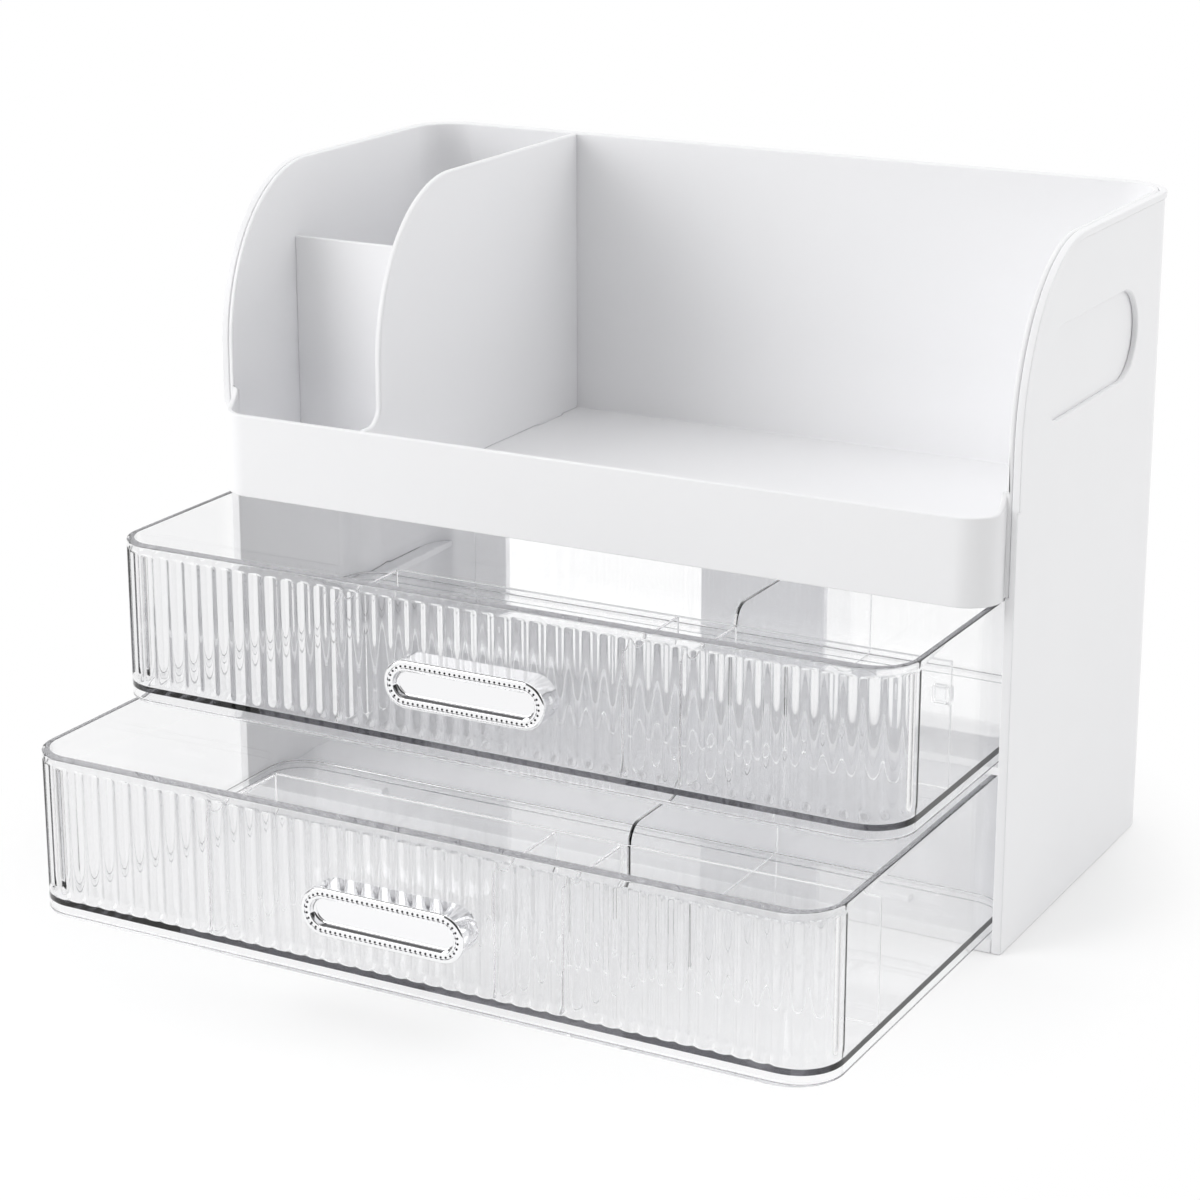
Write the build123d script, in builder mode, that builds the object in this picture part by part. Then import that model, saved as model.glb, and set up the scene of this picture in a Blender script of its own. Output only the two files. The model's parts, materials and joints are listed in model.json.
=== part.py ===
from build123d import *
import math
import os

# Case, seen from the front: width along X, depth along Y, height along Z
case_width = 320.0
case_depth = 155.0
side_wall = 3.6
upper_wall = 2.2
back_corner_radius = 20.0
curve_reach = 54.0
curve_drop = 66.0
rim_height = 2.6
rim_proud = 0.7
base_thickness = 5.0
shelf_thickness = 3.0
shelf_setback = 2.0
shelf_rail = 24.0
shelf_runner = 7.0
shelf_corner_radius = 10.0

# Seams and tabs that hold the case panels together
fit_gap = 0.1
seam_lap = 6.0
tab_length = 30.0
tab_spacing = 80.0
tab_reach = 2.0
tab_thickness = 2.0

# Openings in the case
grip_length = 94.0
grip_height = 33.0
grip_back = 67.5
grip_above_floor = 67.5
grip_round = 0.8
window_post = 54.5
window_width = 92.5
window_left_of_middle = 5.3
window_margin = 7.0
window_radius = 8.0

# Open bin on top of the drawer bays
bin_wall = 2.0
bin_floor = 3.0
bin_depth = 113.6
band_reach = 14.0
band_height = 31.6
band_wall = 2.4
band_radius = 13.5
band_drop = 1.5
flare_radius = 7.0

# Partitions that stand in the bin
partition_wall = 2.4
partition_from_left = 65.0
brush_cell_depth = 45.0
brush_wall_height = 84.0
partition_tab_length = 20.0
partition_tab_inset = 25.0

# Clear drawers
drawer_height = 59.0
drawer_wall = 2.4
drawer_front_wall = 5.0
drawer_floor = 2.0
drawer_skirt = 3.0
drawer_rim = 2.2
drawer_front_radius = 18.0
side_gap = 1.9
slide_gap = 0.4
head_gap = 0.8
rear_gap = 0.5
upper_pull = 70.0
lower_pull = 124.0

# Upright reeds on the drawer fronts
reed_depth = 1.4
reed_pitch = 6.6

# Stops that keep a drawer from leaving its bay
lug_length = 16.0
lug_depth = 4.0
lug_height = 2.2
lug_setback = 14.0
lug_spacing = 220.0

# Drawer pulls and their screws
handle_length = 63.0
handle_height = 17.5
handle_depth = 10.0
handle_border = 3.2
handle_recess = 3.0
handle_round = 1.2
screw_spacing = 40.0
screw_radius = 1.5
screw_head_radius = 3.0
screw_head_height = 1.8
screw_bite = 4.0
screw_gap = 0.1

# Loose dividers in the drawers
divider_wall = 1.6
divider_below_rim = 9.0
front_cell_depth = 46.0
rear_divider_below_rim = 2.5
rear_divider_round = 7.0
tongue_height = 20.0
upper_short_dividers = (-60.0, 53.0, 75.0)
upper_rear_divider_x = 74.0
lower_short_dividers = (-78.0, 35.0, 60.0)
lower_rear_divider_x = 62.0
clip_width = 6.4
clip_height = 6.0
clip_wall = 1.5
clip_below_top = 9.0

# Lines that follow from the sizes above
front_y = -case_depth / 2
back_y = case_depth / 2
outer_half = case_width / 2
inner_half = outer_half - side_wall
inner_back = back_y - side_wall
lower_drawer_z = base_thickness + slide_gap
shelf_z = lower_drawer_z + drawer_height + head_gap
upper_drawer_z = shelf_z + shelf_thickness + slide_gap
band_bottom_z = upper_drawer_z + drawer_height + head_gap
band_top_z = band_bottom_z + band_height
bin_floor_z = band_bottom_z + band_drop
bin_floor_top = bin_floor_z + bin_floor
case_height = bin_floor_top + bin_depth
bin_half = outer_half - upper_wall - fit_gap
bin_back = back_y - upper_wall - fit_gap
band_half = inner_half - fit_gap
band_front = front_y - band_reach
drawer_half = inner_half - side_gap
drawer_length = inner_back - rear_gap - band_front
drawer_back_radius = back_corner_radius - side_wall - rear_gap
grip_y = front_y + grip_back
grip_z = bin_floor_top + grip_above_floor
seam_x = outer_half - back_corner_radius
seam_y = back_y - upper_wall / 2
partition_x = -inner_half + partition_from_left
brush_wall_y = front_y + brush_cell_depth

os.makedirs("parts", exist_ok=True)


def save(piece, name):
    """Label a finished piece and write it as a solid of its own."""
    piece.part.label = name
    export_step(piece.part, f"parts/{name}.step")


def back_outline(half, back_line, radius, front_line=front_y):
    """Plan outline with two round back corners and a straight front line."""
    with BuildSketch() as outline:
        with Locations((0, (front_line + back_line) / 2)):
            Rectangle(2 * half, back_line - front_line)
        fillet(outline.vertices().group_by(Axis.Y)[-1], radius)
    return outline.sketch


def front_outline(half, front_line, back_line, radius):
    """Plan outline with two round front corners and a straight back line."""
    with BuildSketch() as outline:
        with Locations((0, (front_line + back_line) / 2)):
            Rectangle(2 * half, back_line - front_line)
        fillet(outline.vertices().group_by(Axis.Y)[0], radius)
    return outline.sketch


def side_view(bottom_z, back_line, inset=0.0):
    """Side view of the tall walls: level top, elliptical shoulder and upright front edge."""
    front_line = front_y + inset
    top_z = case_height - inset
    reach = curve_reach - inset
    drop = curve_drop - inset
    with BuildSketch() as view:
        with BuildLine():
            Polyline((front_line, top_z - drop), (front_line, bottom_z), (back_line, bottom_z),
                     (back_line, top_z), (front_line + reach, top_z))
            EllipticalCenterArc((front_line + reach, top_z - drop), reach, drop, start_angle=90, arc_size=90)
        make_face()
    return view.sketch


# Shell: two sides and a back, thicker below the shoulder that carries the bin
with BuildPart() as rim:
    with BuildSketch(Plane.XY.offset(band_top_z)):
        add(back_outline(outer_half + rim_proud, back_y + rim_proud, back_corner_radius + rim_proud))
        add(back_outline(bin_half + fit_gap, bin_back + fit_gap, back_corner_radius - upper_wall),
            mode=Mode.SUBTRACT)
    extrude(amount=case_height - band_top_z)
    with BuildSketch(Plane.YZ):
        add(side_view(band_top_z, back_y + back_corner_radius))
        add(side_view(band_top_z, back_y + back_corner_radius, rim_height), mode=Mode.SUBTRACT)
    extrude(amount=case_width, both=True, mode=Mode.INTERSECT)

with BuildPart() as shell:
    with BuildSketch():
        add(back_outline(outer_half, back_y, back_corner_radius))
        add(back_outline(inner_half, inner_back, back_corner_radius - side_wall), mode=Mode.SUBTRACT)
    extrude(amount=bin_floor_z)
    with BuildSketch(Plane.XY.offset(bin_floor_z)):
        add(back_outline(outer_half, back_y, back_corner_radius))
        add(back_outline(bin_half + fit_gap, bin_back + fit_gap, back_corner_radius - upper_wall),
            mode=Mode.SUBTRACT)
    extrude(amount=bin_depth + bin_floor)
    with BuildSketch(Plane.YZ):
        add(side_view(0, back_y))
    extrude(amount=case_width, both=True, mode=Mode.INTERSECT)
    add(rim.part)
    with BuildSketch(Plane.YZ):
        with Locations((grip_y, grip_z)):
            SlotOverall(grip_length, grip_height)
    extrude(amount=case_width, both=True, mode=Mode.SUBTRACT)
    grip_edges = shell.edges(Select.LAST).group_by(Axis.X)
    fillet(grip_edges[0] + grip_edges[-1], grip_round)
    with BuildSketch(Plane.XZ.offset(-back_y)):
        with Locations((-window_left_of_middle, (base_thickness + band_bottom_z) / 2)):
            with GridLocations(window_post + window_width, 0, 2, 1):
                window_height = band_bottom_z - base_thickness - 2 * window_margin
                RectangleRounded(window_width, window_height, window_radius)
    extrude(amount=back_corner_radius, both=True, mode=Mode.SUBTRACT)
    for plate_middle in (base_thickness / 2, shelf_z + shelf_thickness / 2):
        with Locations((0, 0, plate_middle)):
            with GridLocations(0, tab_spacing, 1, 2):
                Box(2 * (inner_half + tab_reach + fit_gap), tab_length + 2 * fit_gap,
                    tab_thickness + 2 * fit_gap, mode=Mode.SUBTRACT)

# The back laps over the ends of the side panels
with BuildPart() as back_panel:
    add(shell.part)
    with BuildSketch():
        with Locations((0, back_y)):
            Rectangle(2 * seam_x, 2 * back_corner_radius)
        with Locations((0, seam_y)):
            Rectangle(2 * (seam_x + seam_lap), back_corner_radius, align=(Align.CENTER, Align.MIN))
    extrude(amount=case_height, mode=Mode.INTERSECT)
save(back_panel, "back_panel")

with BuildPart() as right_side_panel:
    add(shell.part)
    with BuildSketch():
        with Locations((seam_x + fit_gap, seam_y - fit_gap)):
            Rectangle(case_width, case_depth + band_reach, align=(Align.MIN, Align.MAX))
        with Locations((seam_x + seam_lap + fit_gap, seam_y - fit_gap)):
            Rectangle(case_width, back_corner_radius, align=(Align.MIN, Align.MIN))
    extrude(amount=case_height, mode=Mode.INTERSECT)
save(right_side_panel, "right_side_panel")

with BuildPart() as left_side_panel:
    mirror(right_side_panel.part, about=Plane.YZ)
save(left_side_panel, "left_side_panel")


def bay_plate(bottom_z, thickness, front_line, is_open=False):
    """Plate under a drawer bay with side tabs and two stops; an open one is a front rail and two runners."""
    with BuildPart() as plate:
        with BuildSketch(Plane.XY.offset(bottom_z)):
            add(back_outline(inner_half - fit_gap, inner_back - fit_gap,
                             back_corner_radius - side_wall - fit_gap, front_line))
        extrude(amount=thickness)
        with Locations((0, 0, bottom_z + thickness / 2)):
            with GridLocations(0, tab_spacing, 1, 2):
                Box(2 * (inner_half + tab_reach), tab_length, tab_thickness)
        if is_open:
            with BuildSketch(Plane.XY.offset(bottom_z)):
                add(front_outline(inner_half - shelf_runner, front_line + shelf_rail, back_y,
                                  shelf_corner_radius))
            extrude(amount=thickness, mode=Mode.SUBTRACT)
        with Locations((0, front_y + lug_setback, bottom_z + thickness)):
            with GridLocations(lug_spacing, 0, 2, 1):
                Box(lug_length, lug_depth, lug_height, align=(Align.CENTER, Align.MIN, Align.MIN))
    return plate


save(bay_plate(0, base_thickness, front_y), "base_plate")
save(bay_plate(shelf_z, shelf_thickness, front_y + shelf_setback, is_open=True), "middle_shelf")


def partition_tabs():
    """Plan of the tabs that plug the partitions into the bin floor."""
    long_front = front_y + partition_tab_inset
    long_back = bin_back - partition_tab_inset
    return (((partition_x, long_front), (partition_wall, partition_tab_length)),
            ((partition_x, long_back), (partition_wall, partition_tab_length)),
            (((partition_x - inner_half) / 2, brush_wall_y), (partition_tab_length, partition_wall)))


# Bin: floor, tall walls on three sides and a low front band that stands forward of the panels
with BuildPart() as upper_bin:
    with BuildSketch(Plane.XY.offset(bin_floor_z)):
        add(back_outline(bin_half, bin_back, back_corner_radius - upper_wall - fit_gap))
        add(back_outline(bin_half - bin_wall, bin_back - bin_wall,
                         back_corner_radius - upper_wall - fit_gap - bin_wall), mode=Mode.SUBTRACT)
    extrude(amount=bin_depth + bin_floor)
    with BuildSketch(Plane.YZ):
        add(side_view(bin_floor_z, back_y))
    extrude(amount=case_width, both=True, mode=Mode.INTERSECT)
    with BuildSketch(Plane.XY.offset(bin_floor_z)):
        add(back_outline(bin_half, bin_back, back_corner_radius - upper_wall - fit_gap))
        add(front_outline(band_half, band_front, front_y + band_wall, band_radius))
    extrude(amount=bin_floor)
    with BuildSketch(Plane.XY.offset(band_bottom_z)):
        add(front_outline(band_half, band_front, front_y, band_radius))
        add(front_outline(band_half - band_wall, band_front + band_wall, front_y + band_wall,
                          band_radius - band_wall), mode=Mode.SUBTRACT)
    extrude(amount=band_height + flare_radius)
    with BuildSketch(Plane.YZ):
        with BuildLine():
            Polyline((front_y - flare_radius, band_top_z), (band_front - flare_radius, band_top_z),
                     (band_front - flare_radius, case_height), (front_y, case_height),
                     (front_y, band_top_z + flare_radius))
            RadiusArc((front_y, band_top_z + flare_radius), (front_y - flare_radius, band_top_z),
                      flare_radius)
        make_face()
    extrude(amount=case_width, both=True, mode=Mode.SUBTRACT)
    for place, (tab_x, tab_y) in partition_tabs():
        with Locations((*place, bin_floor_z)):
            Box(tab_x + 2 * fit_gap, tab_y + 2 * fit_gap, bin_floor,
                align=(Align.CENTER, Align.CENTER, Align.MIN), mode=Mode.SUBTRACT)
save(upper_bin, "upper_bin")

# Long partition: the outline of the tall walls, run forward to the band along a small hollow curve
with BuildPart() as long_partition:
    with BuildSketch(Plane.YZ.offset(partition_x)):
        add(side_view(bin_floor_top, bin_back - bin_wall))
        with BuildLine():
            Polyline((front_y - flare_radius, band_top_z), (band_front + band_wall, band_top_z),
                     (band_front + band_wall, bin_floor_top), (front_y, bin_floor_top),
                     (front_y, band_top_z + flare_radius))
            RadiusArc((front_y, band_top_z + flare_radius), (front_y - flare_radius, band_top_z),
                      flare_radius)
        make_face()
    extrude(amount=partition_wall / 2, both=True)
    for place, (tab_x, tab_y) in partition_tabs()[:2]:
        with Locations((*place, bin_floor_z)):
            Box(tab_x, tab_y, bin_floor, align=(Align.CENTER, Align.CENTER, Align.MIN))
save(long_partition, "long_partition")

# Brush partition: a low cross wall between the left wall of the bin and the long partition
brush_left = -bin_half + bin_wall
brush_right = partition_x - partition_wall / 2
with BuildPart() as brush_partition:
    with Locations(((brush_left + brush_right) / 2, brush_wall_y, bin_floor_top)):
        Box(brush_right - brush_left, partition_wall, brush_wall_height,
            align=(Align.CENTER, Align.CENTER, Align.MIN))
    for place, (tab_x, tab_y) in partition_tabs()[2:]:
        with Locations((*place, bin_floor_z)):
            Box(tab_x, tab_y, bin_floor, align=(Align.CENTER, Align.CENTER, Align.MIN))
save(brush_partition, "brush_partition")


def reed_line(front_line):
    """Valleys and crests of the reeds, from the left side round the front to the right side."""
    flat_half = drawer_half - drawer_front_radius
    centre_y = front_line + drawer_front_radius
    corner_count = round(drawer_front_radius * math.pi / 2 / reed_pitch)
    front_count = round(2 * flat_half / reed_pitch)
    valleys, crests = [], []
    for step in range(2 * corner_count + 1):
        turn = math.radians(180 + 90 * step / (2 * corner_count))
        radius = drawer_front_radius - (reed_depth if step % 2 == 0 else 0)
        (valleys if step % 2 == 0 else crests).append(
            (-flat_half + radius * math.cos(turn), centre_y + radius * math.sin(turn)))
    right_valleys = [(-x, y) for x, y in reversed(valleys)]
    right_crests = [(-x, y) for x, y in reversed(crests)]
    pitch = 2 * flat_half / front_count
    valleys += [(-flat_half + pitch * step, front_line + reed_depth) for step in range(1, front_count)]
    crests += [(-flat_half + pitch * (step + 0.5), front_line) for step in range(front_count)]
    return valleys + right_valleys, crests + right_crests


def reeded_outline(front_line, back_line):
    """Plan outline of a drawer with round reeds across its front and front corners."""
    valleys, crests = reed_line(front_line)
    with BuildSketch() as outline:
        with BuildLine():
            for start, crest, end in zip(valleys, crests, valleys[1:]):
                ThreePointArc(start, crest, end)
            Polyline(valleys[-1], (drawer_half, valleys[-1][1]), (drawer_half, back_line),
                     (-drawer_half, back_line), (-drawer_half, valleys[0][1]), valleys[0])
        make_face()
        fillet(outline.vertices().group_by(Axis.Y)[-1], drawer_back_radius)
    return outline.sketch


def smooth_outline(front_line, back_line, side_inset=0.0, front_inset=0.0):
    """Plan outline of a drawer with smooth walls, moved in by the given wall sizes."""
    half = drawer_half - side_inset
    with BuildSketch() as outline:
        add(front_outline(half, front_line + front_inset, back_line - side_inset,
                          drawer_front_radius - front_inset))
        fillet(outline.vertices().group_by(Axis.Y)[-1], drawer_back_radius - side_inset)
    return outline.sketch


def make_drawer(level, bottom_z, pull, short_dividers, rear_divider_x, has_clip):
    """One drawer: clear tub, pull with two screws, and the dividers that stand in it."""
    front_line = band_front - pull
    back_line = front_line + drawer_length
    floor_top = bottom_z + drawer_skirt + drawer_floor
    rim_z = bottom_z + drawer_height
    inside_front = front_line + drawer_front_wall
    inside_back = back_line - drawer_wall
    inside_half = drawer_half - drawer_wall
    handle_z = bottom_z + drawer_height / 2
    front_plane = Plane.XZ.offset(-front_line)
    screw_places = [(side * screw_spacing / 2, handle_z) for side in (-1, 1)]

    with BuildPart() as tub:
        with BuildSketch(Plane.XY.offset(bottom_z)):
            add(reeded_outline(front_line, back_line))
        extrude(amount=drawer_height - drawer_rim)
        with BuildSketch(Plane.XY.offset(rim_z - drawer_rim)):
            add(smooth_outline(front_line, back_line))
        extrude(amount=drawer_rim)
        for start_z, height in ((floor_top, rim_z - floor_top), (bottom_z, drawer_skirt)):
            with BuildSketch(Plane.XY.offset(start_z)):
                add(smooth_outline(front_line, back_line, drawer_wall, drawer_front_wall))
            extrude(amount=height, mode=Mode.SUBTRACT)
        with BuildSketch(front_plane):
            with Locations(*screw_places):
                Circle(screw_radius + screw_gap)
        extrude(amount=-drawer_front_wall, mode=Mode.SUBTRACT)
    save(tub, f"{level}_drawer_tub")

    with BuildPart() as handle:
        with BuildSketch(front_plane):
            with Locations((0, handle_z)):
                SlotOverall(handle_length, handle_height)
        extrude(amount=handle_depth)
        front_face = handle.faces().sort_by(Axis.Y)[0]
        fillet(front_face.edges(), handle_round)
        with BuildSketch(front_plane.offset(handle_depth)):
            with Locations((0, handle_z)):
                SlotOverall(handle_length - 2 * handle_border, handle_height - 2 * handle_border)
        extrude(amount=-handle_recess, mode=Mode.SUBTRACT)
        with BuildSketch(front_plane):
            with Locations(*screw_places):
                Circle(screw_radius + screw_gap)
        extrude(amount=screw_bite, mode=Mode.SUBTRACT)
    save(handle, f"{level}_handle")

    with BuildPart() as handle_screws:
        with BuildSketch(Plane.XZ.offset(-inside_front)):
            with Locations(*screw_places):
                Circle(screw_head_radius)
        extrude(amount=-screw_head_height)
        with BuildSketch(Plane.XZ.offset(-inside_front)):
            with Locations(*screw_places):
                Circle(screw_radius)
        extrude(amount=drawer_front_wall + screw_bite - screw_gap)
    save(handle_screws, f"{level}_handle_screws")

    divider_top = rim_z - divider_below_rim
    cross_y = front_line + front_cell_depth
    cross_left = min(short_dividers) - divider_wall / 2
    tongue_z = (floor_top + divider_top) / 2
    clip_place = (inside_half, cross_y, divider_top - clip_below_top - clip_height / 2)
    with BuildPart() as cross_divider:
        with Locations(((cross_left + inside_half) / 2, cross_y, floor_top)):
            Box(inside_half - cross_left, divider_wall, divider_top - floor_top,
                align=(Align.CENTER, Align.CENTER, Align.MIN))
        with Locations(*[(x, cross_y, tongue_z) for x in short_dividers]):
            Box(divider_wall + 2 * fit_gap, divider_wall, tongue_height + 2 * fit_gap, mode=Mode.SUBTRACT)
        if has_clip:
            with Locations(clip_place):
                Box(2 * (clip_wall + fit_gap), divider_wall, clip_height + 2 * fit_gap, mode=Mode.SUBTRACT)
    save(cross_divider, f"{level}_cross_divider")

    if has_clip:
        with BuildPart() as divider_clip:
            with Locations(clip_place):
                Box(clip_width, divider_wall + 2 * (fit_gap + clip_wall), clip_height,
                    align=(Align.MAX, Align.CENTER, Align.CENTER))
            with Locations(Location((-clip_wall, 0, 0)) * Location(clip_place)):
                Box(clip_width, divider_wall + 2 * fit_gap, clip_height,
                    align=(Align.MAX, Align.CENTER, Align.CENTER), mode=Mode.SUBTRACT)
        save(divider_clip, f"{level}_divider_clip")

    cross_front = cross_y - divider_wall / 2
    for place, x in zip(("left", "middle", "right"), short_dividers):
        with BuildPart() as short_divider:
            with Locations((x, (inside_front + cross_front) / 2, floor_top)):
                Box(divider_wall, cross_front - inside_front, divider_top - floor_top,
                    align=(Align.CENTER, Align.CENTER, Align.MIN))
            with Locations((x, cross_y, tongue_z)):
                Box(divider_wall, divider_wall, tongue_height)
        save(short_divider, f"{level}_{place}_short_divider")

    cross_back = cross_y + divider_wall / 2
    with BuildPart() as rear_divider:
        with Locations((rear_divider_x, (cross_back + inside_back) / 2, floor_top)):
            Box(divider_wall, inside_back - cross_back, rim_z - rear_divider_below_rim - floor_top,
                align=(Align.CENTER, Align.CENTER, Align.MIN))
        front_top = rear_divider.edges().filter_by(Axis.X).group_by(Axis.Z)[-1].sort_by(Axis.Y)[0]
        fillet(front_top, rear_divider_round)
    save(rear_divider, f"{level}_rear_divider")


make_drawer("upper", upper_drawer_z, upper_pull, upper_short_dividers, upper_rear_divider_x, has_clip=True)
make_drawer("lower", lower_drawer_z, lower_pull, lower_short_dividers, lower_rear_divider_x, has_clip=False)
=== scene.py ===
"""Looks of a makeup drawer organizer: white case, clear reeded drawers and bright oval handles."""

import json
import logging
import math
from dataclasses import dataclass, field
from enum import Enum
from typing import Sequence

import bmesh
import bpy
from mathutils import Matrix, Vector

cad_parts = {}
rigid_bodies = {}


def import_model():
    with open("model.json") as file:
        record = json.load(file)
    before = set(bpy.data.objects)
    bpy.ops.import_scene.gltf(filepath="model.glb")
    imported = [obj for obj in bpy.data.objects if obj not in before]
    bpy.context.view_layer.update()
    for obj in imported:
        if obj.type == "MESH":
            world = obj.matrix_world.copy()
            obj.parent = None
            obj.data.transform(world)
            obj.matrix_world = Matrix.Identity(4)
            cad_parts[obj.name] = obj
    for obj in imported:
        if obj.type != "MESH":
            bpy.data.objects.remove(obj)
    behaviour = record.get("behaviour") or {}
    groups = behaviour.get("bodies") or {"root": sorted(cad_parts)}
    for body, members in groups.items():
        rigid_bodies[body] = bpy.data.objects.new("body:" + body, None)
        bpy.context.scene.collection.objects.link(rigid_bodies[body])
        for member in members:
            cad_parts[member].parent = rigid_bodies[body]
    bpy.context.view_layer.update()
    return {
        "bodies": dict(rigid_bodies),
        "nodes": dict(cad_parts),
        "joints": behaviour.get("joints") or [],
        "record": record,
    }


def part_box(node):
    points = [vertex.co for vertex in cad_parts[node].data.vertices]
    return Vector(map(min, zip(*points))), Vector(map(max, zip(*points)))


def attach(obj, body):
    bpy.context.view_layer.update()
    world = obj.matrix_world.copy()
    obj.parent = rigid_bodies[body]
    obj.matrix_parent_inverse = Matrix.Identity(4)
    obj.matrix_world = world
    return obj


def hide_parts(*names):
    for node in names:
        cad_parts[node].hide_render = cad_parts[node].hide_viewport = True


LOG = logging.getLogger("organizer")
MM = 0.001
# Noise values between which a finish changes from its first value to its second
PATTERN_LOW, PATTERN_HIGH = 0.3, 0.7
# Share of a rounding's radius at which its middle point lies
ROUND_BEND = 0.3
# CAD points nearer than this are one; flatter edges than the first angle go, and sharper ones
# than the second are rounded
MERGE_DISTANCE = 1e-6
FLAT_DEGREES = 0.3
ROUNDED_DEGREES = 60.0
# Weight that keeps the shading of large faces flat
FACE_WEIGHT = 100
# The thick tub walls darken along their length; the thin dividers bend the light less
TUB_DEPTH_DENSITY = 11.0
DIVIDER_IOR = 1.3
Point2 = tuple[float, float]
Point3 = tuple[float, float, float]


class Slot(Enum):
    """Material slots of the record."""

    WHITE = "white_plastic"
    CLEAR = "clear_plastic"
    BRIGHT = "bright_metal"
    STEEL = "screw_steel"


class Level(Enum):
    """The two drawers, named for their place in the case."""

    UPPER = "upper"
    LOWER = "lower"

    @property
    def body(self) -> str:
        """Name of the moving body that the drawer's pieces ride on."""
        return f"{self.value}_drawer"

    def node(self, piece: str) -> str:
        """Name of one of the drawer's nodes."""
        return f"{self.value}_{piece}"


@dataclass(frozen=True)
class Gloss:
    """Roughness that wanders between two values: cells per metre, lowest and highest value."""

    scale: float
    low: float
    high: float


@dataclass(frozen=True)
class Grain:
    """Fine relief of a surface: cells per metre, height in metres and the share that shows."""

    scale: float
    height: float
    strength: float


class NodeCanvas:
    """A material's node tree with short calls for the nodes that the finishes share."""

    def __init__(self, name: str) -> None:
        """Start a material with one principled shader.

        Args:
            name: Name of the new material.
        """
        self.material = bpy.data.materials.new(name)
        self.material.use_nodes = True
        self.tree = self.material.node_tree
        self.shader = self.tree.nodes["Principled BSDF"]
        self.place = self.tree.nodes.new("ShaderNodeTexCoord").outputs["Object"]

    def set(self, **sockets: object) -> None:
        """Set constant values on the shader's own sockets, with spaces written as underscores."""
        for key, value in sockets.items():
            self.shader.inputs[key.replace("_", " ")].default_value = value

    def noise(self, scale: float, detail: float = 3.0) -> bpy.types.NodeSocket:
        """Add a noise pattern in the object's own space.

        Args:
            scale: Cells per metre.
            detail: Number of finer layers.

        Returns:
            The pattern's grey output.
        """
        node = self.tree.nodes.new("ShaderNodeTexNoise")
        node.inputs["Scale"].default_value = scale
        node.inputs["Detail"].default_value = detail
        self.tree.links.new(self.place, node.inputs["Vector"])
        return node.outputs["Fac"]

    def spread(self, source: bpy.types.NodeSocket, low: float, high: float) -> bpy.types.NodeSocket:
        """Map a grey pattern to a range of values.

        Args:
            source: Pattern from 0 to 1.
            low: Value where the pattern is low.
            high: Value where the pattern is high.

        Returns:
            The mapped value.
        """
        node = self.tree.nodes.new("ShaderNodeMapRange")
        node.inputs["From Min"].default_value = PATTERN_LOW
        node.inputs["From Max"].default_value = PATTERN_HIGH
        node.inputs["To Min"].default_value = low
        node.inputs["To Max"].default_value = high
        self.tree.links.new(source, node.inputs["Value"])
        return node.outputs["Result"]

    def roughen(self, gloss: Gloss) -> None:
        """Let the roughness wander between two values."""
        value = self.spread(self.noise(gloss.scale), gloss.low, gloss.high)
        self.tree.links.new(value, self.shader.inputs["Roughness"])

    def tint(self, scale: float, first: Sequence[float], second: Sequence[float]) -> None:
        """Let the colour wander between two close tones.

        Args:
            scale: Cells per metre of the pattern.
            first: Red, green and blue of one tone.
            second: Red, green and blue of the other tone.
        """
        ramp = self.tree.nodes.new("ShaderNodeValToRGB")
        stops = zip(ramp.color_ramp.elements, (PATTERN_LOW, PATTERN_HIGH), (first, second))
        for stop, position, tone in stops:
            stop.position = position
            stop.color = (*tone, 1.0)
        self.tree.links.new(self.noise(scale), ramp.inputs["Fac"])
        self.tree.links.new(ramp.outputs["Color"], self.shader.inputs["Base Color"])

    def relief(self, grain: Grain) -> None:
        """Add a fine uneven surface."""
        bump = self.tree.nodes.new("ShaderNodeBump")
        bump.inputs["Distance"].default_value = grain.height
        bump.inputs["Strength"].default_value = grain.strength
        self.tree.links.new(self.noise(grain.scale), bump.inputs["Height"])
        self.tree.links.new(bump.outputs["Normal"], self.shader.inputs["Normal"])

    def deepen(self, tone: Sequence[float], density: float) -> None:
        """Let long ways through the material grow darker.

        Args:
            tone: Red, green and blue that a long way goes towards.
            density: How fast it does so, per metre.
        """
        depth = self.tree.nodes.new("ShaderNodeVolumeAbsorption")
        depth.inputs["Color"].default_value = (*tone, 1.0)
        depth.inputs["Density"].default_value = density
        out = self.tree.nodes["Material Output"]
        self.tree.links.new(depth.outputs["Volume"], out.inputs["Volume"])


@dataclass(frozen=True)
class SatinPlastic:
    """White moulded plastic with a fine satin grain."""

    name: str = "satin_white_plastic"
    tone: Point3 = (0.9, 0.9, 0.91)
    second_tone: Point3 = (0.89, 0.892, 0.904)
    tone_scale: float = 9.0
    ior: float = 1.46
    gloss: Gloss = Gloss(60.0, 0.36, 0.44)
    grain: Grain = Grain(2600.0, 0.00004, 0.25)

    def build(self) -> bpy.types.Material:
        """Make the material."""
        canvas = NodeCanvas(self.name)
        canvas.tint(self.tone_scale, self.tone, self.second_tone)
        canvas.roughen(self.gloss)
        canvas.relief(self.grain)
        canvas.set(IOR=self.ior)
        return canvas.material


@dataclass(frozen=True)
class ClearPlastic:
    """Clear moulded plastic with polished faces and a slight flow ripple."""

    name: str = "clear_polished_plastic"
    tone: Point3 = (0.992, 0.993, 0.995)
    ior: float = 1.49
    depth_tone: Point3 = (0.08, 0.08, 0.13)
    depth_density: float = 0.0
    gloss: Gloss = Gloss(30.0, 0.0, 0.02)
    grain: Grain = Grain(22.0, 0.0006, 0.06)

    def build(self) -> bpy.types.Material:
        """Make the material."""
        canvas = NodeCanvas(self.name)
        canvas.set(Base_Color=(*self.tone, 1.0), Transmission_Weight=1.0, IOR=self.ior)
        canvas.roughen(self.gloss)
        canvas.relief(self.grain)
        if self.depth_density > 0.0:
            canvas.deepen(self.depth_tone, self.depth_density)
        return canvas.material


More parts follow.
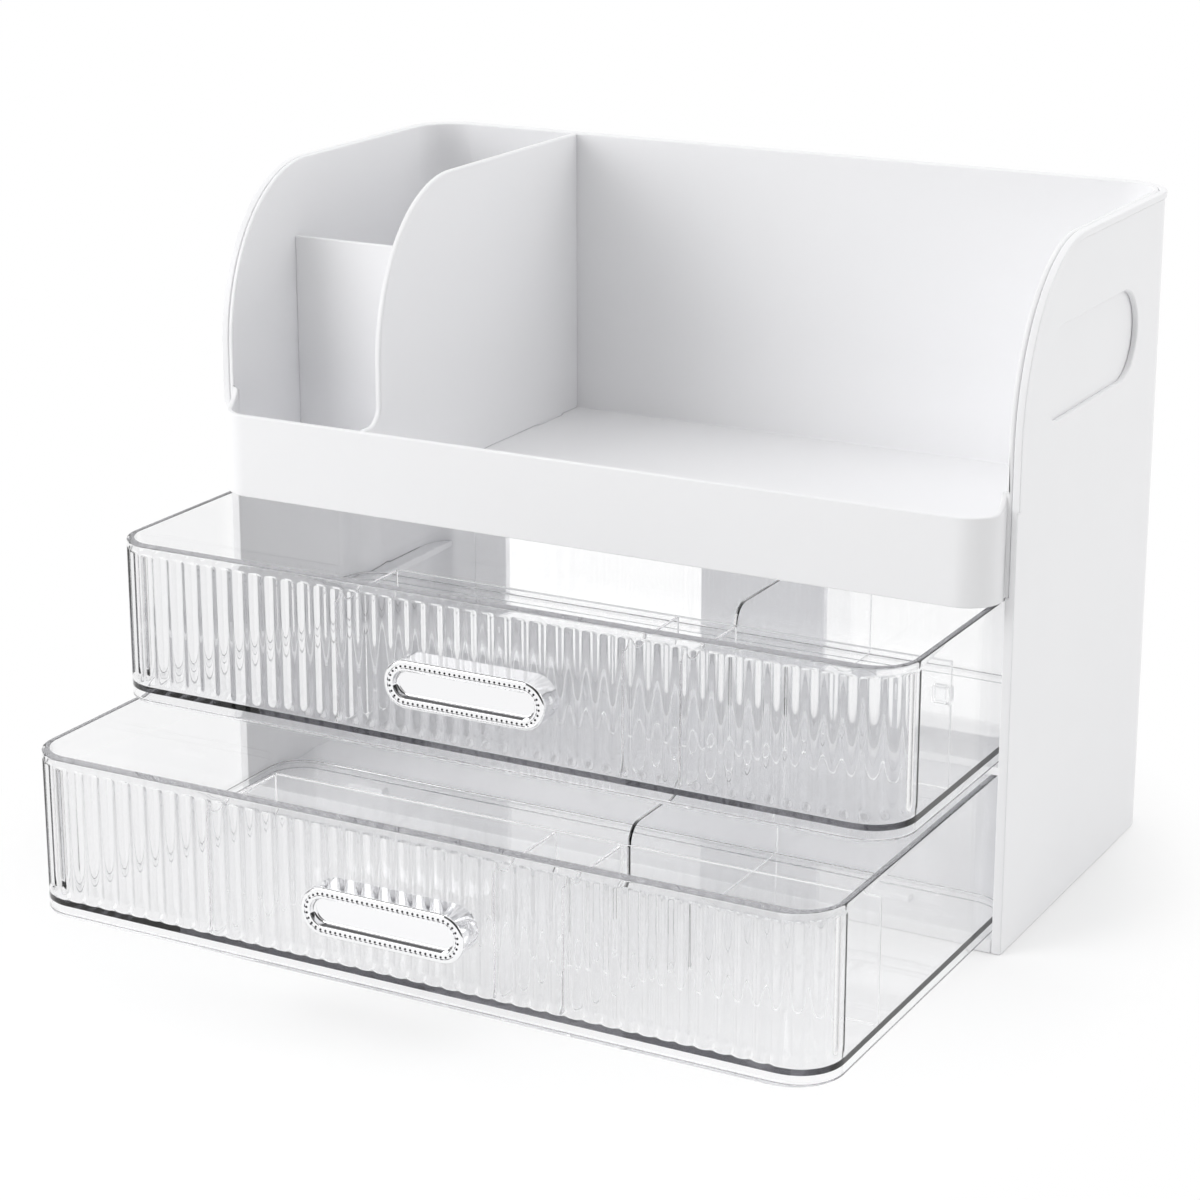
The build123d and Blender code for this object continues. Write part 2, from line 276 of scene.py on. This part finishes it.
@dataclass(frozen=True)
class BrightMetal:
    """Bright metallised plating of the handles."""

    name: str = "bright_plating"
    tone: Point3 = (0.93, 0.93, 0.94)
    gloss: Gloss = Gloss(140.0, 0.05, 0.11)
    grain: Grain = Grain(420.0, 0.00003, 0.2)

    def build(self) -> bpy.types.Material:
        """Make the material."""
        canvas = NodeCanvas(self.name)
        canvas.set(Base_Color=(*self.tone, 1.0), Metallic=1.0)
        canvas.roughen(self.gloss)
        canvas.relief(self.grain)
        return canvas.material


@dataclass(frozen=True)
class PaintedShadePlating:
    """Near-black finish of the small dots in the handle's border: painted shade that stands for the
    shadow in the border's hollows.
    """

    name: str = "painted_shade_plating"
    # Near-black tone and low IOR: painted shade of the border's hollows, kept free of bright
    # reflections
    tone: Point3 = (0.02, 0.02, 0.022)
    ior: float = 1.3
    gloss: Gloss = Gloss(600.0, 0.18, 0.3)
    grain: Grain = Grain(1800.0, 0.00002, 0.2)

    def build(self) -> bpy.types.Material:
        """Make the material."""
        canvas = NodeCanvas(self.name)
        canvas.set(Base_Color=(*self.tone, 1.0), IOR=self.ior)
        canvas.roughen(self.gloss)
        canvas.relief(self.grain)
        return canvas.material


@dataclass(frozen=True)
class ScrewSteel:
    """Plain turned steel of the handle screws."""

    name: str = "plain_steel"
    tone: Point3 = (0.62, 0.62, 0.64)
    gloss: Gloss = Gloss(900.0, 0.22, 0.38)
    grain: Grain = Grain(3000.0, 0.00003, 0.3)

    def build(self) -> bpy.types.Material:
        """Make the material."""
        canvas = NodeCanvas(self.name)
        canvas.set(Base_Color=(*self.tone, 1.0), Metallic=1.0)
        canvas.roughen(self.gloss)
        canvas.relief(self.grain)
        return canvas.material


@dataclass
class Workshop:
    """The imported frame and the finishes, and the calls that place a finished piece in the frame."""

    frame: dict
    finishes: dict[Slot, bpy.types.Material]

    def place(self, mesh: bpy.types.Mesh, name: str, body: str, slot: Slot,
              *nodes: str) -> bpy.types.Object:
        """Put a mesh in the scene as a piece that rides on a body and stands for CAD nodes.

        Args:
            mesh: Mesh in metres in the shared frame.
            name: Name of the piece.
            body: Body that it rides on.
            slot: Material slot that it takes its finish from.
            nodes: CAD nodes that it stands for.

        Returns:
            The new object.
        """
        piece = bpy.data.objects.new(name, mesh)
        bpy.context.scene.collection.objects.link(piece)
        mesh.materials.clear()
        mesh.materials.append(self.finishes[slot])
        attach(piece, body)
        if nodes:
            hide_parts(*nodes)
        flat = piece.modifiers.new("flat_faces", "WEIGHTED_NORMAL")
        flat.keep_sharp = True
        flat.weight = FACE_WEIGHT
        if slot is Slot.CLEAR:
            piece.visible_shadow = False
            piece.visible_diffuse = False
        LOG.info("piece %s on %s: %d faces", name, body, len(mesh.polygons))
        return piece

    def soften(self, node: str, name: str, body: str, slot: Slot, radius_mm: float,
               segments: int = 3, slack_mm: float = 0.0) -> bpy.types.Object:
        """Make a moulded piece from a CAD node, with its sharp edges rounded.

        Args:
            node: CAD node that gives the shape.
            name: Name of the new piece.
            body: Body that it rides on.
            slot: Material slot of the piece.
            radius_mm: Radius of the rounded edges.
            segments: Number of flats that make up the rounding.
            slack_mm: How far each side is kept off what it stands against.

        Returns:
            The new object.
        """
        source = self.frame["nodes"][node]
        work = bmesh.new()
        work.from_mesh(source.data)
        work.transform(source.matrix_world)
        bmesh.ops.remove_doubles(work, verts=work.verts[:], dist=MERGE_DISTANCE)
        bmesh.ops.dissolve_limit(work, angle_limit=math.radians(FLAT_DEGREES),
                                 verts=work.verts[:], edges=work.edges[:])
        limit = math.radians(ROUNDED_DEGREES)
        sharp = [edge for edge in work.edges
                 if len(edge.link_faces) == 2 and edge.calc_face_angle(0.0) > limit]
        bmesh.ops.bevel(work, geom=sharp, offset=radius_mm * MM, offset_type="OFFSET",
                        segments=segments, profile=0.5, affect="EDGES", clamp_overlap=False)
        low, high = (Vector(corner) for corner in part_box(node))
        middle, size = (low + high) / 2, high - low
        for vert in work.verts:
            vert.co = middle + Vector((offset * (1.0 - 2 * slack_mm * MM / side)
                                       for offset, side in zip(vert.co - middle, size)))
        mesh = finished_mesh(name, work)
        return self.place(mesh, name, body, slot, node)


def finished_mesh(name: str, work: bmesh.types.BMesh,
                  sharp_degrees: float = 40.0) -> bpy.types.Mesh:
    """Turn a work mesh into a smooth-shaded mesh that keeps its sharp edges.

    Args:
        name: Name of the mesh.
        work: Work mesh, freed here.
        sharp_degrees: Edges that turn by more than this stay sharp.

    Returns:
        The finished mesh.
    """
    bmesh.ops.recalc_face_normals(work, faces=work.faces[:])
    mesh = bpy.data.meshes.new(name)
    work.to_mesh(mesh)
    work.free()
    mesh.shade_smooth()
    mesh.set_sharp_from_angle(angle=math.radians(sharp_degrees))
    return mesh


def loft_rings(rings: Sequence[Sequence[Vector]]) -> bmesh.types.BMesh:
    """Join closed rings of equal length into a skin, with both ends capped.

    Args:
        rings: Rings of points in metres, in order along the skin.

    Returns:
        The work mesh.
    """
    work = bmesh.new()
    rows = [[work.verts.new(point) for point in ring] for ring in rings]
    for row, following in zip(rows, rows[1:]):
        for step in range(len(row)):
            after = (step + 1) % len(row)
            work.faces.new((row[step], row[after], following[after], following[step]))
    work.faces.new(list(reversed(rows[0])))
    work.faces.new(rows[-1])
    return work


def line(start: Point2, end: Point2, steps: int) -> list[Point2]:
    """Evenly spaced points on a straight line.

    Args:
        start: First point.
        end: Point that the line runs to.
        steps: Number of points.

    Returns:
        The points, without the end.
    """
    shares = [step / steps for step in range(steps)]
    return [(start[0] + (end[0] - start[0]) * share, start[1] + (end[1] - start[1]) * share)
            for share in shares]


def quarter_turn(centre: Point2, start: float, reach: float,
                 falls: Sequence[float]) -> list[Point2]:
    """Points round a corner of 90 degrees, one for each depth below its round line.

    Args:
        centre: Centre of the corner.
        start: Angle in degrees at which it starts.
        reach: Radius of the round line.
        falls: Depths below the line, from start to end.

    Returns:
        The points, without the end.
    """
    points = []
    for step, fall in enumerate(falls):
        turn = math.radians(start + 90.0 * step / len(falls))
        points.append((centre[0] + (reach - fall) * math.cos(turn),
                       centre[1] + (reach - fall) * math.sin(turn)))
    return points


@dataclass
class Case:
    """The white case: three outer panels, two plates, the bin and its partitions."""

    shop: Workshop
    edge_radii_mm: dict[str, float] = field(default_factory=lambda: {
        "left_side_panel": 0.5, "right_side_panel": 0.5, "back_panel": 0.4, "base_plate": 0.5,
        "middle_shelf": 0.5, "upper_bin": 0.7, "long_partition": 0.8, "brush_partition": 0.6})

    def build(self) -> None:
        """Make each panel, plate and partition with rounded moulded edges."""
        for node, radius in self.edge_radii_mm.items():
            self.shop.soften(node, f"{node}_moulding", "case", Slot.WHITE, radius)


@dataclass
class ReededTub:
    """A clear drawer tub with upright reeds across its front and front corners. Sizes in mm."""

    shop: Workshop
    level: Level
    finish: bpy.types.Material
    side_wall: float = 2.4
    front_wall: float = 5.0
    front_radius: float = 18.0
    back_radius: float = 15.9
    skirt: float = 3.0
    floor: float = 2.0
    rim: float = 2.2
    reed_depth: float = 1.3
    reed_pitch: float = 6.6
    reed_steps: int = 12
    reed_top_run_out: float = 1.6
    reed_base_run_out: float = 4.2
    run_out_steps: int = 6
    corner_fade: float = 1.5
    side_steps: int = 6
    back_corner_steps: int = 12
    base_band: float = 1.6
    edge_round: float = 0.5
    floor_round: float = 0.5
    sharp_degrees: float = 30.0

    def __post_init__(self) -> None:
        """Take the tub's place and outer size from its CAD node."""
        low, high = (tuple(value / MM for value in corner)
                     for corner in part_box(self.level.node("drawer_tub")))
        self.half = (high[0] - low[0]) / 2
        self.front, self.back = low[1], high[1]
        self.bottom, self.top = low[2], high[2]
        self.corner_reeds = round(self.front_radius * math.pi / 2 / self.reed_pitch)
        self.front_reeds = round(2 * (self.half - self.front_radius) / self.reed_pitch)

    def reed_fall(self, share: float) -> float:
        """Depth of a reed's surface below its crest.

        Args:
            share: Place across the reed, from 0 to 1.

        Returns:
            Depth in mm.
        """
        return self.reed_depth * (1.0 + math.cos(2.0 * math.pi * share)) / 2

    def corner_falls(self, reeding: float) -> list[float]:
        """Depths of the reeds round a front corner, which fade in from the plain side.

        Args:
            reeding: Share of the reeds' depth that is cut.

        Returns:
            Depths in mm, from the side to the front, with both ends.
        """
        shares = [step / self.reed_steps for step in range(self.corner_reeds * self.reed_steps + 1)]
        return [reeding * self.reed_fall(share) * min(1.0, share / self.corner_fade)
                for share in shares]

    def outline(self, side_inset: float, front_inset: float, reeding: float) -> list[Point2]:
        """Plan outline of the tub, with the same points in the same order at every inset.

        Args:
            side_inset: How far the sides and the back move in.
            front_inset: How far the front moves in.
            reeding: Share of the reeds' depth that is cut into it.

        Returns:
            Points in mm, from the left side round the front.
        """
        half, back = self.half - side_inset, self.back - side_inset
        front, radius = self.front + front_inset, self.front_radius - front_inset
        rear = self.back_radius - side_inset
        falls = self.corner_falls(reeding)
        plain_corner = [0.0] * self.back_corner_steps
        run = [step / self.reed_steps for step in range(self.front_reeds * self.reed_steps)]
        return [
            *line((-half, back - rear), (-half, front + radius), self.side_steps),
            *quarter_turn((-half + radius, front + radius), 180.0, radius, falls[:-1]),
            *((-half + radius + 2 * (half - radius) * share / self.front_reeds,
               front + reeding * self.reed_fall(share)) for share in run),
            *quarter_turn((half - radius, front + radius), 270.0, radius, falls[:0:-1]),
            *line((half, front + radius), (half, back - rear), self.side_steps),
            *quarter_turn((half - rear, back - rear), 0.0, rear, plain_corner),
            *line((half - rear, back), (-half + rear, back), self.side_steps),
            *quarter_turn((-half + rear, back - rear), 90.0, rear, plain_corner),
        ]

    def section(self) -> list[tuple[float, float, float, float]]:
        """Rings of the skin from the floor's underside round the wall to the floor.

        Returns:
            Side inset, front inset, share of the reeds' depth and height above the tub's bottom.
        """
        height, soft, cove = self.top - self.bottom, self.edge_round, self.floor_round
        side, front = self.side_wall, self.front_wall
        floor_top = self.skirt + self.floor
        bend, cove_bend = ROUND_BEND * soft, ROUND_BEND * cove
        inner = [(side - lift, front - lift, 0.0) for lift in (0.0, bend, soft)]
        low, high = floor_top + self.base_band, height - self.rim
        rises = [step / self.run_out_steps for step in range(self.run_out_steps + 1)]
        run_out = [(0.5 - 0.5 * math.cos(math.pi * rise), rise) for rise in rises]
        return [
            (*inner[0], self.skirt), (*inner[0], soft), (*inner[1], bend), (*inner[2], 0.0),
            (soft, soft, 0.0, 0.0), (bend, bend, 0.0, bend), (0.0, 0.0, 0.0, soft),
            *((0.0, 0.0, share, low + self.reed_base_run_out * rise) for share, rise in run_out),
            *((0.0, 0.0, share, high - self.reed_top_run_out * rise)
              for share, rise in reversed(run_out)),
            (0.0, 0.0, 0.0, height - soft), (bend, bend, 0.0, height - bend),
            (soft, soft, 0.0, height), (*inner[2], height), (*inner[1], height - bend),
            (*inner[0], height - soft), (*inner[0], floor_top + cove),
            (side + cove_bend, front + cove_bend, 0.0, floor_top + cove_bend),
            (side + cove, front + cove, 0.0, floor_top),
        ]

    def build(self) -> bpy.types.Object:
        """Make the tub.

        Returns:
            The new object.
        """
        rings = [[Vector((x, y, self.bottom + lift)) * MM
                  for x, y in self.outline(side, front, reeding)]
                 for side, front, reeding, lift in self.section()]
        node = self.level.node("drawer_tub")
        mesh = finished_mesh(f"{node}_moulding", loft_rings(rings), self.sharp_degrees)
        tub = self.shop.place(mesh, f"{node}_moulding", self.level.body, Slot.CLEAR, node)
        mesh.materials[0] = self.finish
        return tub


@dataclass
class OvalHandle:
    """A bright oval pull with a dotted border and a recessed face. Sizes in mm."""

    shop: Workshop
    level: Level
    # Near-black finish of the dots: painted shade of the border's hollows
    dot_shade_finish: bpy.types.Material
    border: float = 1.5
    groove: float = 1.4
    groove_depth: float = 0.35
    groove_slope: float = 0.15
    inner_lip: float = 0.6
    recess: float = 2.2
    edge_round: float = 0.8
    edge_bends: tuple[Point2, ...] = ((0.13, 0.5), (0.5, 0.13))
    lip_profile: tuple[Point2, ...] = ((0.2, 0.1), (0.3, 0.4))
    face_profile: tuple[Point2, ...] = ((0.6, 0.6), (0.9, 0.2), (1.4, 0.0))
    dot_radius: float = 0.43
    dot_pitch: float = 1.95
    dot_segments: int = 12
    dot_rings: int = 8
    sharp_degrees: float = 50.0
    end_steps: int = 24

    def __post_init__(self) -> None:
        """Take the handle's place and outer size from its CAD node."""
        low, high = (Vector(corner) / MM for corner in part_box(self.level.node("handle")))
        self.length, self.depth, self.height = high - low
        self.centre = Vector(((low.x + high.x) / 2, high.y, (low.z + high.z) / 2))

    def oval(self, inset: float, forward: float) -> list[Vector]:
        """Closed oval ring.

        Args:
            inset: Distance in from the outer edge.
            forward: Distance from the drawer front.

        Returns:
            Points in metres.
        """
        radius = self.height / 2 - inset
        straight = (self.length - self.height) / 2
        ring = []
        for side, start in ((1, -90.0), (-1, 90.0)):
            for step in range(self.end_steps + 1):
                turn = math.radians(start + 180.0 * step / self.end_steps)
                ring.append(Vector((side * straight + radius * math.cos(turn), -forward,
                                    radius * math.sin(turn))))
        return [(self.centre + point) * MM for point in ring]

    def section(self) -> list[Point2]:
        """Rings of the skin from the back face round the edge to the recessed face.

        Returns:
            Inset from the outer edge and distance forward of the drawer front, in mm.
        """
        rim, soft = self.depth, self.edge_round
        groove_start, groove_end = self.border, self.border + self.groove
        lip = groove_end + self.inner_lip
        low, face = rim - self.groove_depth, rim - self.recess
        return [
            (0.0, 0.0), (0.0, rim - soft),
            *((inset * soft, rim - drop * soft) for inset, drop in self.edge_bends),
            (soft, rim), (groove_start, rim), (groove_start + self.groove_slope, low),
            (groove_end - self.groove_slope, low), (groove_end, rim), (lip, rim),
            *((lip + inset, rim - drop) for inset, drop in self.lip_profile),
            *((lip + inset, face + rise) for inset, rise in self.face_profile),
        ]

    def dot_places(self) -> list[Vector]:
        """Centres of the dots, evenly spaced along the border, in metres."""
        path = self.oval(self.border + self.groove / 2, self.depth - self.dot_radius)
        spans = [(after - point).length for point, after in zip(path, path[1:] + path[:1])]
        count = round(sum(spans) / (self.dot_pitch * MM))
        places, walked, index = [], 0.0, 0
        for dot in range(count):
            goal = sum(spans) * dot / count
            while walked + spans[index] < goal:
                walked += spans[index]
                index += 1
            share = (goal - walked) / spans[index]
            places.append(path[index].lerp(path[(index + 1) % len(path)], share))
        return places

    def build(self) -> bpy.types.Object:
        """Make the handle with its dots.

        Returns:
            The new object.
        """
        work = loft_rings([self.oval(inset, forward) for inset, forward in self.section()])
        node = self.level.node("handle")
        mesh = finished_mesh(f"{node}_plated", work, self.sharp_degrees)
        self.dot_border(node)
        return self.shop.place(mesh, f"{node}_plated", self.level.body, Slot.BRIGHT, node)

    def dot_border(self, node: str) -> bpy.types.Object:
        """Make the ring of small dots that lies in the border's groove, in a near-black finish that
        paints the shade of the border's hollows.

        Args:
            node: CAD node of the handle.

        Returns:
            The new object.
        """
        work = bmesh.new()
        for place in self.dot_places():
            bmesh.ops.create_uvsphere(work, u_segments=self.dot_segments, v_segments=self.dot_rings,
                                      radius=self.dot_radius * MM, matrix=Matrix.Translation(place))
        mesh = finished_mesh(f"{node}_dots", work)
        dots = self.shop.place(mesh, f"{node}_dots", self.level.body, Slot.BRIGHT)
        # The dots take the near-black finish that paints the shade in the border's hollows
        mesh.materials[0] = self.dot_shade_finish
        return dots


@dataclass
class DrawerFittings:
    """The loose dividers, the clip and the screws of one drawer."""

    shop: Workshop
    level: Level
    divider_round_mm: float = 0.4
    divider_slack_mm: float = 0.12
    screw_round_mm: float = 0.4

    def build(self) -> None:
        """Make each fitting that the drawer has."""
        for node in self.shop.frame["nodes"]:
            if not node.startswith(self.level.value):
                continue
            if "divider" in node:
                self.shop.soften(node, f"{node}_moulding", self.level.body, Slot.CLEAR,
                                 self.divider_round_mm, slack_mm=self.divider_slack_mm)
            elif "screws" in node:
                self.shop.soften(node, f"{node}_turned", self.level.body, Slot.STEEL,
                                 self.screw_round_mm)


@dataclass(frozen=True)
class PanelLamp:
    """A soft square lamp: place, point that it faces and side in metres, and power in watts."""

    name: str
    place: Point3
    aim: Point3
    side: float
    watts: float

    def build(self) -> None:
        """Hang the lamp in the scene."""
        data = bpy.data.lights.new(self.name, "AREA")
        data.shape = "RECTANGLE"
        data.size = data.size_y = self.side
        data.energy = self.watts
        lamp = bpy.data.objects.new(self.name, data)
        lamp.location = self.place
        towards = Vector(self.aim) - Vector(self.place)
        lamp.rotation_euler = towards.to_track_quat("-Z", "Y").to_euler()
        bpy.context.scene.collection.objects.link(lamp)


class Backdrop:
    """Node tree of the floor or of the surround, with short calls for the nodes that they share."""

    def __init__(self, tree: bpy.types.NodeTree) -> None:
        """Start from an empty tree.

        Args:
            tree: Node tree that takes the nodes.
        """
        self.tree = tree
        self.tree.nodes.clear()

    def add(self, kind: str) -> bpy.types.Node:
        """Add a node."""
        return self.tree.nodes.new(f"ShaderNode{kind}")

    def join(self, source: bpy.types.NodeSocket, target: bpy.types.NodeSocket) -> None:
        """Link two sockets."""
        self.tree.links.new(source, target)

    def reckon(self, operation: str, first: bpy.types.NodeSocket,
               second: bpy.types.NodeSocket) -> bpy.types.NodeSocket:
        """Work one value out of two.

        Args:
            operation: Name of the operation.
            first: First value.
            second: Second value.

        Returns:
            The result.
        """
        node = self.add("Math")
        node.operation = operation
        self.join(first, node.inputs[0])
        self.join(second, node.inputs[1])
        return node.outputs[0]

    def step(self, value: bpy.types.NodeSocket, start: Point2, end: Point2) -> bpy.types.NodeSocket:
        """Step smoothly from one level to another.

        Args:
            value: Value that the step follows.
            start: Value and level at which the step starts.
            end: Value and level at which it ends.

        Returns:
            The level.
        """
        node = self.add("MapRange")
        node.interpolation_type = "SMOOTHSTEP"
        for side, (place, level) in (("Min", start), ("Max", end)):
            node.inputs[f"From {side}"].default_value = place
            node.inputs[f"To {side}"].default_value = level
        self.join(value, node.inputs["Value"])
        return node.outputs["Result"]

    def ray(self, kind: str) -> bpy.types.NodeSocket:
        """Value of 1 for one kind of ray."""
        return self.add("LightPath").outputs[f"Is {kind} Ray"]

    def shows(self, gloss: bpy.types.NodeSocket) -> bpy.types.NodeSocket:
        """Value of 1 for rays that show the backdrop: seen, off gloss and through clear pieces.

        Args:
            gloss: Value for rays off gloss.

        Returns:
            The value.
        """
        seen = self.reckon("MAXIMUM", self.ray("Camera"), gloss)
        return self.reckon("MAXIMUM", seen, self.ray("Transmission"))

    def mix(self, share: bpy.types.NodeSocket, first: bpy.types.NodeSocket,
            second: bpy.types.NodeSocket, out: str) -> None:
        """Mix two shaders into the tree's surface.

        Args:
            share: Share of the second shader.
            first: First shader.
            second: Second shader.
            out: Kind of the output node.
        """
        both = self.add("MixShader")
        self.join(share, both.inputs["Fac"])
        self.join(first, both.inputs[1])
        self.join(second, both.inputs[2])
        self.join(both.outputs[0], self.add(out).inputs["Surface"])


@dataclass
class Studio:
    """Pale floor, soft light and the camera, in metres."""

    floor_size: float = 8.0
    floor_drop: float = 0.0002
    floor_tone: Point3 = (0.8, 0.8, 0.8)
    floor_lift: float = 0.16
    fade_stretch: Point3 = (1.3, 1.0, 1.0)
    fade_offset: Point3 = (0.0, 0.12, 0.0)
    fade_start: float = 0.24
    fade_end: float = 0.32
    camera_place: Point3 = (0.5141, -1.024, 0.4492)
    camera_aim: Point3 = (-0.4562, 0.8428, -0.2857)
    sensor_mm: float = 36.0
    lens_mm: float = 93.86
    shift_up: float = -0.05
    near_limit: float = 0.05
    far_limit: float = 50.0
    room_level: float = 1.15
    dim_side: Point3 = (0.7, -0.7, 0.0)
    dim_edge: float = 0.2
    dim_level: float = 0.12
    backdrop_edge: float = -0.1
    backdrop_blend: float = 0.3
    mirror_share: float = 0.15
    lamps: tuple[PanelLamp, ...] = (
        PanelLamp("front_left_panel", (-1.15, -1.55, 0.85), (0.0, -0.05, 0.12), 1.3, 15.5),
        PanelLamp("right_panel", (1.9, 0.5, 0.9), (0.0, 0.0, 0.12), 1.4, 10.0),
        PanelLamp("top_panel", (0.1, 0.1, 2.0), (0.0, 0.0, 0.1), 1.6, 4.0))
    all_bounces: int = 40
    gloss_bounces: int = 32
    matte_bounces: int = 10

    def floor(self) -> None:
        """Pale matte floor that keeps the object's shadow and runs out to white."""
        half, under = self.floor_size / 2, -self.floor_drop
        mesh = bpy.data.meshes.new("floor")
        mesh.from_pydata([(-half, -half, under), (half, -half, under), (half, half, under),
                          (-half, half, under)], [], [(0, 1, 2, 3)])
        plane = bpy.data.objects.new("floor", mesh)
        bpy.context.scene.collection.objects.link(plane)
        material = bpy.data.materials.new("pale_floor")
        material.use_nodes = True
        nodes = Backdrop(material.node_tree)
        seen = nodes.shows(nodes.ray("Glossy"))
        matte, glow, white = nodes.add("BsdfDiffuse"), nodes.add("Emission"), nodes.add("Emission")
        matte.inputs["Color"].default_value = (*self.floor_tone, 1.0)
        white.inputs["Strength"].default_value = 1.0
        nodes.join(nodes.step(seen, (0.0, 0.0), (1.0, self.floor_lift)), glow.inputs["Strength"])
        near = nodes.add("AddShader")
        nodes.join(matte.outputs[0], near.inputs[0])
        nodes.join(glow.outputs[0], near.inputs[1])
        stretched = nodes.add("VectorMath")
        stretched.operation = "MULTIPLY_ADD"
        stretched.inputs[1].default_value = self.fade_stretch
        stretched.inputs[2].default_value = self.fade_offset
        nodes.join(nodes.add("TexCoord").outputs["Object"], stretched.inputs[0])
        away = nodes.add("VectorMath")
        away.operation = "LENGTH"
        nodes.join(stretched.outputs["Vector"], away.inputs[0])
        fade = nodes.step(away.outputs["Value"], (self.fade_start, 0.0), (self.fade_end, 1.0))
        nodes.mix(nodes.reckon("MULTIPLY", fade, seen), near.outputs[0], white.outputs[0],
                  "OutputMaterial")
        mesh.materials.append(material)

    def world(self) -> None:
        """White surround, and a soft room, dimmer at the right, that lights the matte faces."""
        world = bpy.data.worlds.new("studio")
        bpy.context.scene.world = world
        world.use_nodes = True
        nodes = Backdrop(world.node_tree)
        place = nodes.add("TexCoord").outputs["Generated"]
        towards = nodes.add("VectorMath")
        towards.operation = "DOT_PRODUCT"
        towards.inputs[1].default_value = Vector(self.dim_side).normalized()
        nodes.join(place, towards.inputs[0])
        lit = nodes.step(towards.outputs["Value"], (self.dim_edge, self.room_level),
                         (1.0, self.dim_level))
        mirrored = nodes.step(nodes.ray("Glossy"), (0.0, 1.0), (1.0, self.mirror_share))
        room, white = nodes.add("Background"), nodes.add("Background")
        nodes.join(nodes.reckon("MULTIPLY", lit, mirrored), room.inputs["Strength"])
        white.inputs["Strength"].default_value = 1.0
        white.inputs["Color"].default_value = (1.0, 1.0, 1.0, 1.0)
        apart = nodes.add("SeparateXYZ")
        nodes.join(place, apart.inputs[0])
        behind = nodes.step(apart.outputs["Y"], (self.backdrop_edge, 0.0),
                            (self.backdrop_edge + self.backdrop_blend, 1.0))
        seen = nodes.shows(nodes.reckon("MULTIPLY", nodes.ray("Glossy"), behind))
        nodes.mix(seen, room.outputs[0], white.outputs[0], "OutputWorld")

    def camera(self) -> None:
        """Camera at the photograph's angle, with the frame shifted down as the photograph's is."""
        data = bpy.data.cameras.new("camera")
        data.sensor_width = self.sensor_mm
        data.lens = self.lens_mm
        data.shift_y = self.shift_up
        data.clip_start = self.near_limit
        data.clip_end = self.far_limit
        camera = bpy.data.objects.new("camera", data)
        camera.location = self.camera_place
        camera.rotation_euler = Vector(self.camera_aim).to_track_quat("-Z", "Y").to_euler()
        bpy.context.scene.collection.objects.link(camera)
        bpy.context.scene.camera = camera

    def build(self) -> None:
        """Set up the floor, the light and the camera, with enough bounces for the clear walls."""
        scene = bpy.context.scene
        scene.view_settings.view_transform = "Standard"
        self.floor()
        self.world()
        for lamp in self.lamps:
            lamp.build()
        scene.cycles.max_bounces = self.all_bounces
        scene.cycles.transmission_bounces = self.all_bounces
        scene.cycles.glossy_bounces = self.gloss_bounces
        scene.cycles.diffuse_bounces = self.matte_bounces
        self.camera()
        LOG.info("studio ready")


def main() -> None:
    """Load the frame and build each sub-assembly in order."""
    logging.basicConfig(level=logging.INFO, format="%(name)s: %(message)s")
    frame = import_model()
    finishes = {Slot.WHITE: SatinPlastic().build(),
                Slot.CLEAR: ClearPlastic(ior=DIVIDER_IOR).build(),
                Slot.BRIGHT: BrightMetal().build(), Slot.STEEL: ScrewSteel().build()}
    # Near-black finish for the handle dots: painted shade of the border's hollows
    painted_shade = PaintedShadePlating().build()
    tub_finish = ClearPlastic("clear_tub_plastic", depth_density=TUB_DEPTH_DENSITY).build()
    shop = Workshop(frame, finishes)
    Case(shop).build()
    for level in Level:
        ReededTub(shop, level, tub_finish).build()
        OvalHandle(shop, level, painted_shade).build()
        DrawerFittings(shop, level).build()
    Studio().build()


if __name__ == "__main__":
    main()
